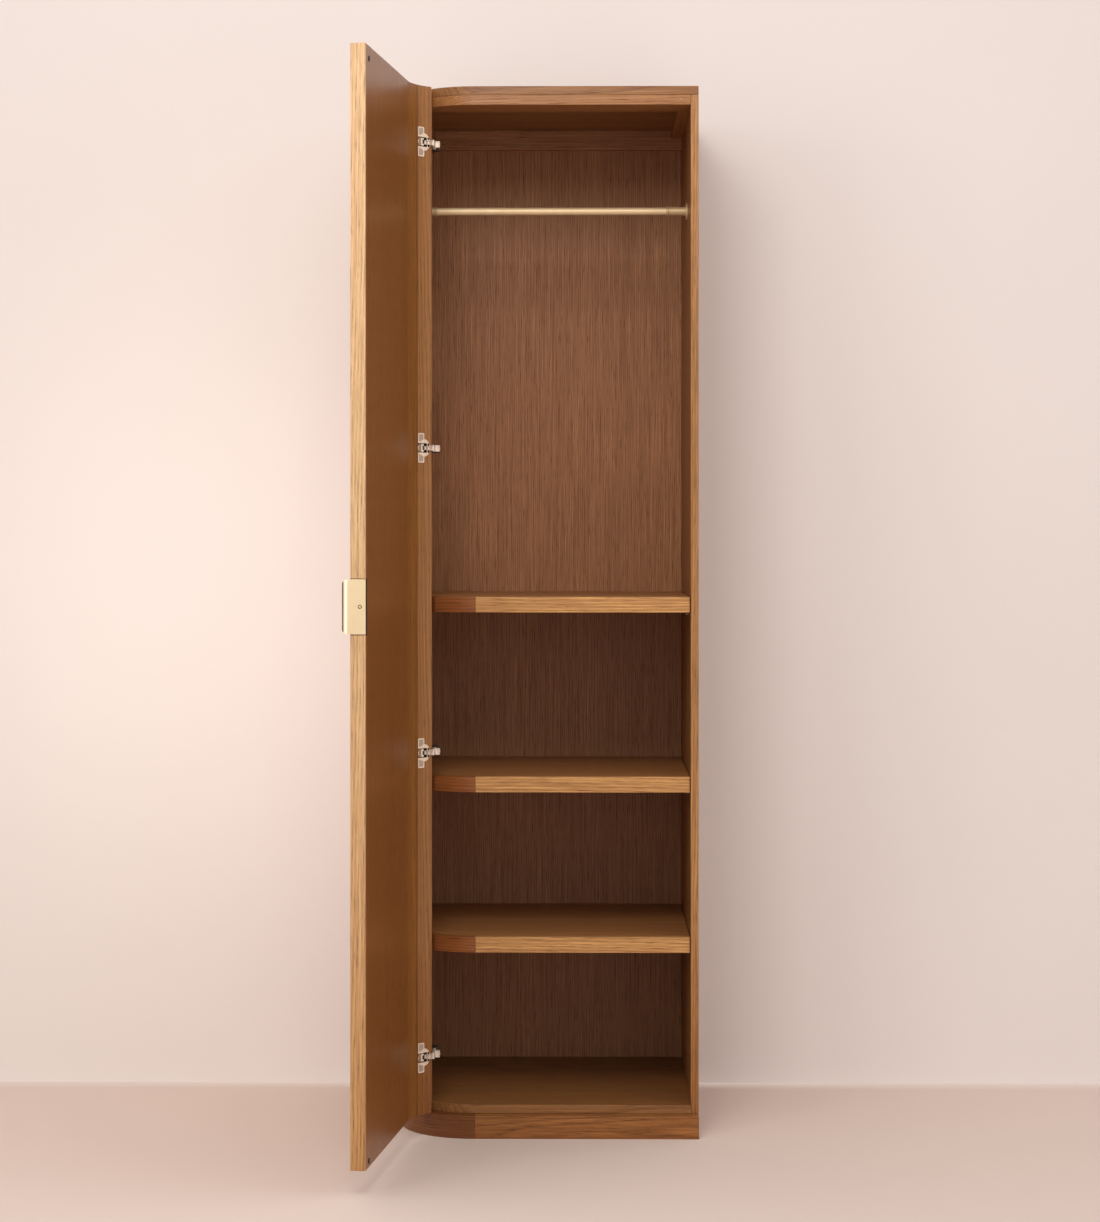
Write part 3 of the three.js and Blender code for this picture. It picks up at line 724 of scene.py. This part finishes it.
def mirrored(bm, side):
    """bm itself, or its mirror image in Z."""
    if side < 0:
        moved(bm, Matrix.Scale(-1, 4, Vector((0, 0, 1))))
        bmesh.ops.reverse_faces(bm, faces=bm.faces)
    return bm


def screw(radius, height):
    """A countersunk head with a cross recess, standing on Z = 0."""
    head = lathe([(0, -0.8), (radius * 0.8, -0.8), (radius, 0), (radius * 0.92, height * 0.7),
                  (radius * 0.6, height), (0, height)], 32)
    for degrees in (45, 135):
        bar = slab((-radius * 0.62, -radius * 0.13, height - 0.9), (radius * 0.62, radius * 0.13, height + 2))
        head = cut(head, moved(bar, turn(degrees, "Z")))
    return head


def on_plate(bm, x, z, y):
    """Stands a part, drawn on Z = 0, on the cup plate at a height above the door's face."""
    return moved(bm, shift(x, y, z) @ turn(-90, "X"))


def hinge_cup(cover):
    stud = on_plate(lathe([(0, -0.6), (2.0, -0.6), (2.0, 0.7), (1.4, 1.1), (0, 1.1)], 24), 8.5, -13.4, 1.5)
    return joined(cover, wing(1), wing(-1), stud)


def wing_fields():
    """The sunk fields of the two wings."""
    fields = [slab((WING_IN + 2.4, 1.2, low), (WING_OUT - 2.4, 1.55, low + 14.4)) for low in (-27.4, 13.0)]
    return joined(*fields)


def cup_clip():
    """A bright bracket-shaped plate in the cup's mouth, open towards the hinge edge."""
    outline = [(9.2, -7.6), (9.2, 7.6), (1.4, 7.6), (1.4, 4.0), (6.2, 4.0), (6.2, -4.0), (1.4, -4.0),
               (1.4, -7.6)]
    return round_edges(upright_plate(outline, 0.2, 1.5), 0.4, 2)


def cup_tab():
    """The flat tongue of the cover between the two wings, beside the clip."""
    outline = [(10.2, -7.8), (16.6, -7.8), (16.6, 7.8), (10.2, 7.8)]
    return round_edges(upright_plate(outline, 0.0, 1.5), 0.4, 2)


def cup_damper():
    """The moulded block beside the clip."""
    block = round_edges(slab((2.5, -9.4, -8.8), (13.6, -2.2, 8.8)), 1.2, 3)
    hood = round_edges(slab((6.4, -3.4, -6.2), (13.0, -0.6, 6.2)), 0.9, 3)
    return joined(block, hood)


def cup_pins():
    return joined(*(moved(lathe([(0, -10.5), (1.5, -10.5), (1.5, 10.5), (0, 10.5)], 20), shift(x, y, 0))
                    for x, y in ((-12.4, -2.2), (1.2, -3.6))))


def channel_section(width, back, depth, flange):
    half = width / 2
    return [(-back, -half), (depth, -half), (depth, -half + flange), (0.2, -half + flange * 1.5),
            (0.2, half - flange * 1.5), (depth, half - flange), (depth, half), (-back, half)]


def channel(path, widths, back, depth, flange):
    """A pressed channel along a path in plan: a web with two flanges that stand out on one side."""
    bm = bmesh.new()
    rings = []
    for i, point in enumerate(path):
        before = path[max(i - 1, 0)]
        after = path[min(i + 1, len(path) - 1)]
        way = (after - before).normalized()
        normal = Vector((-way.y, way.x))
        section = channel_section(widths[i], back, depth, flange)
        corners = [(point.x + normal.x * n, point.y + normal.y * n, z) for n, z in section]
        rings.append([bm.verts.new(corner) for corner in corners])
    count = len(rings[0])
    for a, b in zip(rings, rings[1:]):
        for i in range(count):
            j = (i + 1) % count
            bm.faces.new((a[i], a[j], b[j], b[i]))
    bm.faces.new(rings[0])
    bm.faces.new(rings[-1])
    bmesh.ops.recalc_face_normals(bm, faces=bm.faces)
    return round_edges(bm, 0.35, 2, 35)


def rounded_path(points, radius, steps=6):
    """The points joined by straight lines, with each inner corner rounded."""
    path = [points[0]]
    for before, corner, after in zip(points, points[1:], points[2:]):
        reach = min(radius, (corner - before).length * 0.45, (after - corner).length * 0.45)
        start = corner + (before - corner).normalized() * reach
        end = corner + (after - corner).normalized() * reach
        for i in range(steps + 1):
            t = i / steps
            path.append(start * (1 - t) ** 2 + corner * 2 * t * (1 - t) + end * t ** 2)
    return path + [points[-1]]


def open_cup_point(number, x, y):
    """A point of the cup's frame, with the door open."""
    return (SWING @ cup_frame(number) @ Vector((x, y, 0))).to_2d()


LINK_H = 12.4
BEND = Vector((1.5, -53))         # the link's bend in plan, from its own pivot
KNUCKLE = Vector((8.9, -30.0))    # centre of the block beside the bend, from the same pivot


def knuckle_block(number):
    """A block with a sunk square on its front, held beside the link by a rivet."""
    low = Vector((KNUCKLE.x - 4.75, KNUCKLE.y - 6, -6.4))
    high = Vector((KNUCKLE.x + 4.75, KNUCKLE.y + 6, 6.4))
    block = slab(low, high)
    face = min(block.faces, key=lambda f: f.calc_center_median().y)
    bmesh.ops.inset_region(block, faces=[face], thickness=1.9, depth=0)
    bmesh.ops.inset_region(block, faces=[face], thickness=0.3, depth=-1.2)
    round_edges(block, 0.5, 3)
    rivet = lathe([(0, 0), (3, 0), (3, 3.4), (3.8, 3.8), (3.8, 4.6), (0, 4.6)], 28)
    head = lathe([(0, 0), (2.6, 0), (2.4, 0.6), (1.2, 0.9), (0, 0.9)], 28)
    rivet = moved(rivet, shift(KNUCKLE.x - 8.5, KNUCKLE.y, 0) @ turn(90, "Y"))
    head = moved(head, shift(high.x - 0.1, KNUCKLE.y, 0) @ turn(90, "Y"))
    collar = lathe([(0, -6.4), (2.3, -6.4), (3, -5.7), (3, 5.7), (2.3, 6.4), (0, 6.4)], 28)
    collar = moved(collar, shift(BEND.x - 0.5, BEND.y - 0.4, 0))
    ends = box(f"hinge_{number}_link")
    middle = (ends[0].z + ends[1].z) / 2
    return moved(joined(block, rivet, head, collar), shift(LINK_PIVOT.x, LINK_PIVOT.y, middle))


def hinge_link(number):
    """The goose-neck channel from its pivot in the arm, round the bend and into the cup's mouth."""
    start = LINK_PIVOT.to_2d()
    bend = start + BEND
    points = [start, bend, open_cup_point(number, -10.5, 4.5), open_cup_point(number, -8, -4)]
    half = LINK_H / 2
    path = rounded_path(points, 6)
    web = (points[2] - bend).length
    narrowed = [max(0.0, min(1.0, (bend - p).length / web)) if p.x < bend.x - 1 else 0.0 for p in path]
    arm = channel(path, [LINK_H - 3.6 * part for part in narrowed], 2.0, 2.2, 1.6)
    barrel = lathe([(2.4, -half), (4.4, -half), (4.4, half), (2.4, half), (2.4, -half)], 32)
    round_edges(barrel, 0.3, 2)
    nose = lathe([(0, -4.2), (2.6, -4.2), (3, -3.8), (3, 3.8), (2.6, 4.2), (0, 4.2)], 28)
    low, high = box(f"hinge_{number}_link")
    middle = (low.z + high.z) / 2
    end = points[-1]
    barrel = moved(barrel, shift(start.x, start.y))
    nose = moved(nose, shift(end.x, end.y))
    return moved(joined(arm, barrel, nose), shift(0, 0, middle))


ARM_SEAT_R = 128             # radius of the arm's foot round the corner's axis
ARM_ANGLE = math.radians(58)
ARM_W = 16


def arm_frame(number):
    """Arm frame on the corner post: +X towards the door, +Y away from the post."""
    centre = corner_point(ARM_SEAT_R, ARM_ANGLE)
    low, high = box(f"hinge_{number}_arm")
    origin = Matrix.Translation((centre.x, centre.y, (low.z + high.z) / 2))
    return origin @ Matrix.Rotation(-ARM_ANGLE, 4, "Z")


def hinge_arm(number):
    """A box-shaped arm on a foot plate, slotted where the link swings, with its screws."""
    to_arm = arm_frame(number)
    local = to_arm.inverted() @ Vector((LINK_PIVOT.x, LINK_PIVOT.y, to_arm.translation.z))
    outline = ([Vector(p) for p in ((-22, 0.2), (-22, 12), (-14, 22), (12, 27.5), (20, 27.5), (21.5, 19))]
               + arc(local.x, local.y, 6, 90, -90, 10) + [Vector((20, 0.2))])
    body = round_edges(prism(outline, -ARM_W / 2, ARM_W / 2), 0.8, 3)
    gap = LINK_H / 2 + 0.4
    slot = slab((local.x - 5, local.y - 20, -gap), (local.x + 15, local.y + 20, gap))
    body = cut(body, slot)
    foot = round_edges(slab((-19, 0.2, -26), (11, 3, 26)), 0.6, 2)
    pin = lathe([(0, -8.4), (2, -8.4), (2.6, -8), (2, -7.8), (2, 7.8), (2.6, 8), (2, 8.4), (0, 8.4)], 24)
    pin = moved(pin, shift(local.x, local.y))
    screws = [moved(screw(3.4, 1.2), shift(-4, 3, z) @ turn(-90, "X")) for z in (-20, 20)]
    regulator = moved(screw(3.6, 1.4), shift(-2, 24.9, 0) @ turn(-90, "X") @ turn(12, "Y"))
    return moved(joined(body, foot, pin, *screws, regulator), to_arm)


def build_hinges():
    for number in range(1, 5):
        name = f"hinge_{number}"
        to_cup = cup_frame(number)
        dish, cover = cup_shell()
        # The dish takes the near-black steel: painted shade inside the cup.
        place(name + "_cup_dish", moved(dish, to_cup), STEEL_PAINTED_SHADE, "door", (name + "_cup",), True)
        place(name + "_cup_plate", moved(hinge_cup(cover), to_cup), CUP_NICKEL, "door",
              (name + "_cup",), True)
        place(name + "_damper", moved(cup_damper(), to_cup), DARK_PLASTIC, "door", swung=True)
        place(name + "_cup_pins", moved(cup_pins(), to_cup), NICKEL, "door", swung=True)
        # The wings' sunk fields take a darker nickel: painted shade in the recess.
        place(name + "_wing_fields", moved(wing_fields(), to_cup), FIELD_NICKEL_PAINTED_SHADE, "door", swung=True)
        place(name + "_cup_clip", moved(cup_clip(), to_cup), CUP_NICKEL, "door", swung=True)
        # The tongue takes a brownish nickel: a painted reflection of the wood round it.
        place(name + "_cup_tab", moved(cup_tab(), to_cup), TAB_NICKEL_PAINTED_REFLECTION, "door", swung=True)
        place(name + "_gooseneck", hinge_link(number), LINK_NICKEL, "hinge_links",
              (name + "_link",))
        place(name + "_knuckle_block", knuckle_block(number), KNUCKLE_NICKEL, "hinge_links",
              (name + "_link",))
        # The arm takes the near-black steel too: painted shade inside the cabinet.
        place(name + "_mounting_arm", hinge_arm(number), STEEL_PAINTED_SHADE, "cabinet", (name + "_arm",))


# ---- Hanging rod ----
def build_rod():
    low, high = box("hanging_rod")
    middle = (low + high) / 2
    radius = (high.z - low.z) / 2
    length = high.x - low.x
    tube = lathe([(0, 0), (radius - 0.4, 0), (radius, 0.4), (radius, length - 0.4), (radius - 0.4, length),
                  (0, length)], 64)
    tube = moved(tube, shift(low.x, middle.y, middle.z) @ turn(90, "Y"))
    place("metal_hanging_rod", tube, ROD_BRASS, "cabinet", ("hanging_rod",))
    for node in ("rod_socket_right", "rod_socket_left"):
        build_socket(node, radius)


def build_socket(node, rod_radius):
    """A flanged socket with a bead at its mouth, screwed to the side, with a grub screw for the rod."""
    low, high = box(node)
    middle = (low + high) / 2
    flange = (high.z - low.z) / 2
    length = high.x - low.x
    tube, bore = 9.5, rod_radius + 0.3
    profile = [(0, 0), (flange, 0), (flange, 1.6), (flange - 0.4, 2.3), (flange - 1.2, 2.6),
               (tube + 1.5, 2.8), (tube + 0.4, 3.4), (tube, 4.6), (tube, length - 5),
               (tube + 0.5, length - 4.2), (tube + 0.8, length - 2.6), (tube + 0.5, length - 1),
               (tube, length - 0.3), (tube - 0.5, length), (bore, length), (bore, length - 30),
               (0, length - 30)]
    side = 1 if middle.x < 0 else -1
    wall = low.x if side == 1 else high.x
    screws = [moved(screw(2.2, 0.7), turn(degrees, "Z") @ shift(14, 0, 2.5)) for degrees in (90, 210, 330)]
    grub = moved(screw(1.5, 0.5), shift(0, 0, 8) @ turn(90, "X") @ shift(0, 0, tube - 0.2))
    whole = joined(lathe(profile, 64), *screws, grub)
    whole = moved(whole, shift(wall, middle.y, middle.z) @ turn(90 * side, "Y"))
    place("metal_" + node, whole, SOCKET_BRASS, "cabinet", (node,))


# ---- Pull ----
PULL_T = 2.0
PULL_CURL_R = 10.0
PULL_CORNER_R = 16.0
FLAT_STEPS = 12              # points on the flat part of the sheet
CURL_STEPS = 14              # flats of its curl
TIP_STEP = 6                 # the flat of the curl where its shaded tip starts


def pull_sheet(first=0, inside=0.0, outside=PULL_T):
    """A bent sheet: a plate on the door's free edge whose front lip curls over, with two rounded corners.

    The sheet starts at one of the path's points and lies between two distances from its inner skin.
    """
    low, high = closed_box("door_pull")
    edge = high.x - PULL_T
    curl_y = low.y + PULL_CURL_R + PULL_T
    flat = high.y - curl_y
    path = [(edge, high.y - flat * i / FLAT_STEPS, 1.0, 0.0) for i in range(FLAT_STEPS)]
    for i in range(CURL_STEPS + 1):
        a = -math.pi / 2 * i / CURL_STEPS
        path.append((edge - PULL_CURL_R + PULL_CURL_R * math.cos(a), curl_y + PULL_CURL_R * math.sin(a),
                     math.cos(a), math.sin(a)))
    path = path[first:]
    top = (high.z - low.z) / 2
    middle = (high.z + low.z) / 2
    bm = bmesh.new()
    faces = ([], [])
    for x, y, nx, ny in path:
        from_tip = max(0.0, PULL_CORNER_R - (y - low.y))
        reach = top - PULL_CORNER_R + math.sqrt(max(0.0, PULL_CORNER_R ** 2 - from_tip ** 2))
        for skin, offset in zip(faces, (inside, outside)):
            ends = [(x + nx * offset, y + ny * offset, middle + reach * k) for k in (-1, 1)]
            skin.append([bm.verts.new(end) for end in ends])
    for skin in faces:
        for a, b in zip(skin, skin[1:]):
            bm.faces.new((a[0], a[1], b[1], b[0]))
    inner, outer = faces
    for k in (0, 1):
        for i in range(len(path) - 1):
            bm.faces.new((inner[i][k], inner[i + 1][k], outer[i + 1][k], outer[i][k]))
    for i in (0, len(path) - 1):
        bm.faces.new((inner[i][0], inner[i][1], outer[i][1], outer[i][0]))
    bmesh.ops.recalc_face_normals(bm, faces=bm.faces)
    return round_edges(bm, 0.45, 3, 35)


def build_pull():
    plate_low, plate_high = closed_box("door_pull")
    low, high = closed_box("door_pull_screw")
    middle = (low + high) / 2
    face = Matrix.Translation((plate_high.x, middle.y, middle.z)) @ turn(90, "Y")
    sink = lathe([(0, -1.3), (2.7, -1.3), (3.9, 0.3), (3.9, 2), (0, 2)], 40)
    sheet = cut(pull_sheet(), moved(sink, face))
    place("metal_door_pull", sheet, BRASS, "door", ("door_pull",), True)
    # A paler brass over the curl: a painted highlight.
    lip_highlight = pull_sheet(FLAT_STEPS, PULL_T - 0.6, PULL_T + 0.08)
    place("metal_pull_lip_painted_highlight", lip_highlight, HIGHLIGHT_BRASS, "door", ("door_pull",), True)
    # The tip of the curl takes the dark brass: a painted dark reflection.
    roll = pull_sheet(FLAT_STEPS + TIP_STEP, PULL_T - 0.6, PULL_T + 0.2)
    place("metal_pull_rolled_tip", roll, SHADED_BRASS, "door", ("door_pull",), True)
    # A dark strip round the plate on the door's edge: a painted shadow line.
    shadow_line = slab((plate_high.x - PULL_T - 0.25, closed_box("door_panel")[0].y, plate_low.z - 1.3),
                  (plate_high.x - PULL_T - 0.02, plate_high.y + 2.2, plate_high.z + 1.3))
    place("pull_painted_shadow_line", shadow_line, MAGNET_AND_PAINTED_SHADE, "door", swung=True)
    # A dark ring in the countersink round the screw head: painted shade.
    ring = lathe([(2.3, -1.4), (3.1, -1.3), (4.0, -0.05), (4.0, 0.05), (2.3, -0.4), (2.3, -1.4)], 40)
    place("metal_pull_screw_ring", moved(ring, face), SHADED_BRASS, "door", swung=True)
    head = moved(screw(2.2, 0.5), face @ shift(0, 0, -0.4))
    place("metal_door_pull_screw", head, BRASS, "door", ("door_pull_screw",), True)


# ---- Magnets and their strikes ----
def build_magnets():
    for end in ("top", "bottom"):
        node = "door_magnet_" + end
        low, high = closed_box(node)
        middle = (low + high) / 2
        radius = (high.z - low.z) / 2
        disc = lathe([(0, -0.3), (radius, -0.3), (radius, 0.6), (radius - 0.5, 1.0), (radius - 1.2, 1.05),
                      (radius - 1.5, 0.8), (0, 0.8)], 40)
        disc = moved(disc, shift(middle.x, low.y, middle.z) @ turn(-90, "X"))
        place("coated_" + node, disc, MAGNET_AND_PAINTED_SHADE, "door", (node,), True)
    front = box("bottom_panel")[0].y
    magnet = closed_box("door_magnet_top")
    for name, x, z in (("strike_top", (magnet[0].x + magnet[1].x) / 2, (magnet[0].z + magnet[1].z) / 2),
                       ("strike_bottom", box("bottom_panel")[1].x - 2, box("bottom_panel")[0].z + 4)):
        button = lathe([(0, -0.5), (1.3, -0.5), (1.3, 0.1), (0.9, 0.3), (0, 0.35)], 24)
        place(name, moved(button, shift(x, front, z) @ turn(90, "X")), DULL_NAIL, "cabinet")


build_plinth()
build_carcass()
build_shelves()
build_door()
build_hinges()
build_rod()
build_pull()
build_magnets()


# ---- Camera, light and stage ----
EYE = Vector((0.0677, -6.1467, 1.2314))
LOOK = math.radians(0.61)    # turn of the camera to the left
SENSOR = 36                  # height of the picture on the sensor, in mm
LENS = 85.192                # focal length in mm
RISE = -0.06607              # shift of the lens in frame heights, which keeps the uprights parallel


def build_camera():
    camera = bpy.data.cameras.new("camera")
    camera.sensor_width = SENSOR
    camera.lens = LENS
    camera.shift_y = RISE
    camera.clip_end = 60
    holder = bpy.data.objects.new("camera", camera)
    holder.location = EYE
    holder.rotation_euler = (math.pi / 2, 0, LOOK)
    bpy.context.scene.collection.objects.link(holder)
    bpy.context.scene.camera = holder


NEAR_WALL = 0.08             # length in metres of the rays that pass through the one-sided wall


def plain(name, colour, one_sided=False):
    """A matt stage surface with a trace of mottling.

    A one-sided one can be seen through from behind, and lets light through to a back that nearly
    touches it.
    """
    material, tree, shader = surface(name)
    point = add(tree, "ShaderNodeTexCoord").outputs["Object"]
    cloud = noise(tree, point, detail=4, scale=1.6).outputs[0]
    shade = rgb(*(c * 0.96 for c in colour[:3]))
    tree.links.new(blend(tree, "MIX", cloud, shade, colour), shader.inputs["Base Color"])
    shader.inputs["Roughness"].default_value = 0.9
    shader.inputs["Specular IOR Level"].default_value = 0.1
    if one_sided:
        see_through = add(tree, "ShaderNodeBsdfTransparent").outputs[0]
        behind = add(tree, "ShaderNodeNewGeometry").outputs["Backfacing"]
        distance = add(tree, "ShaderNodeLightPath").outputs["Ray Length"]
        clear = calc(tree, "MAXIMUM", behind, calc(tree, "LESS_THAN", distance, NEAR_WALL))
        mix = add(tree, "ShaderNodeMixShader", {0: clear, 1: shader.outputs[0], 2: see_through})
        tree.links.new(mix.outputs[0], tree.nodes["Material Output"].inputs["Surface"])
    return material


def stage_sheet(name, corners, material):
    mesh = bpy.data.meshes.new(name)
    mesh.from_pydata(corners, [], [(0, 1, 2, 3)])
    mesh.materials.append(material)
    sheet = bpy.data.objects.new(name, mesh)
    bpy.context.scene.collection.objects.link(sheet)


def build_stage():
    wall_y = cad_box[1].y + 0.002
    floor = plain("floor", rgb(0.74, 0.62, 0.55))
    wall = plain("wall", rgb(0.85, 0.785, 0.75), one_sided=True)
    stage_sheet("floor", [(-5, -7, 0), (5, -7, 0), (5, 5, 0), (-5, 5, 0)], floor)
    stage_sheet("backdrop", [(-4, wall_y, 0), (4, wall_y, 0), (4, wall_y, 3.6), (-4, wall_y, 3.6)], wall)


def area_light(name, position, target, width, height, power, colour, spread=180):
    light = bpy.data.lights.new(name, "AREA")
    light.shape = "RECTANGLE"
    light.size = width
    light.size_y = height
    light.energy = power
    light.color = colour
    light.spread = math.radians(spread)
    holder = bpy.data.objects.new(name, light)
    holder.location = position
    holder.rotation_euler = (Vector(target) - Vector(position)).to_track_quat("-Z", "Y").to_euler()
    bpy.context.scene.collection.objects.link(holder)


ROOM = 0.89                  # strength of the light from all round
OVERHEAD = 0.15              # how much more comes from straight above
WARM = (1.0, 0.95, 0.90)


def room_light():
    """Light from the room all round, a little stronger from above."""
    world = bpy.data.worlds.new("room")
    world.use_nodes = True
    tree = world.node_tree
    background = tree.nodes["Background"]
    way = add(tree, "ShaderNodeTexCoord").outputs["Generated"]
    parts = add(tree, "ShaderNodeSeparateXYZ", {0: way}).outputs
    overhead = calc(tree, "MULTIPLY_ADD", parts[2], OVERHEAD, ROOM)
    tree.links.new(overhead, background.inputs["Strength"])
    background.inputs["Color"].default_value = rgb(1.0, 0.965, 0.955)
    bpy.context.scene.world = world


def build_light():
    room_light()
    area_light("key", (-0.34, -2.7, 2.85), (0, 0, 1.2), width=0.8, height=0.8, power=13.3, colour=WARM,
               spread=130)
    area_light("side", (-2.5, -3.5, 2.0), (0.2, 0, 1.0), width=1.4, height=1.4, power=17.5, colour=WARM)
    area_light("wall_glow", (-1.3, -1.2, 1.2), (-0.50, 0.3, 1.0), width=0.5, height=0.9, power=1.4,
               colour=(1.0, 0.95, 0.92), spread=70)
    bpy.context.scene.view_settings.view_transform = "Standard"


build_camera()
build_stage()
build_light()
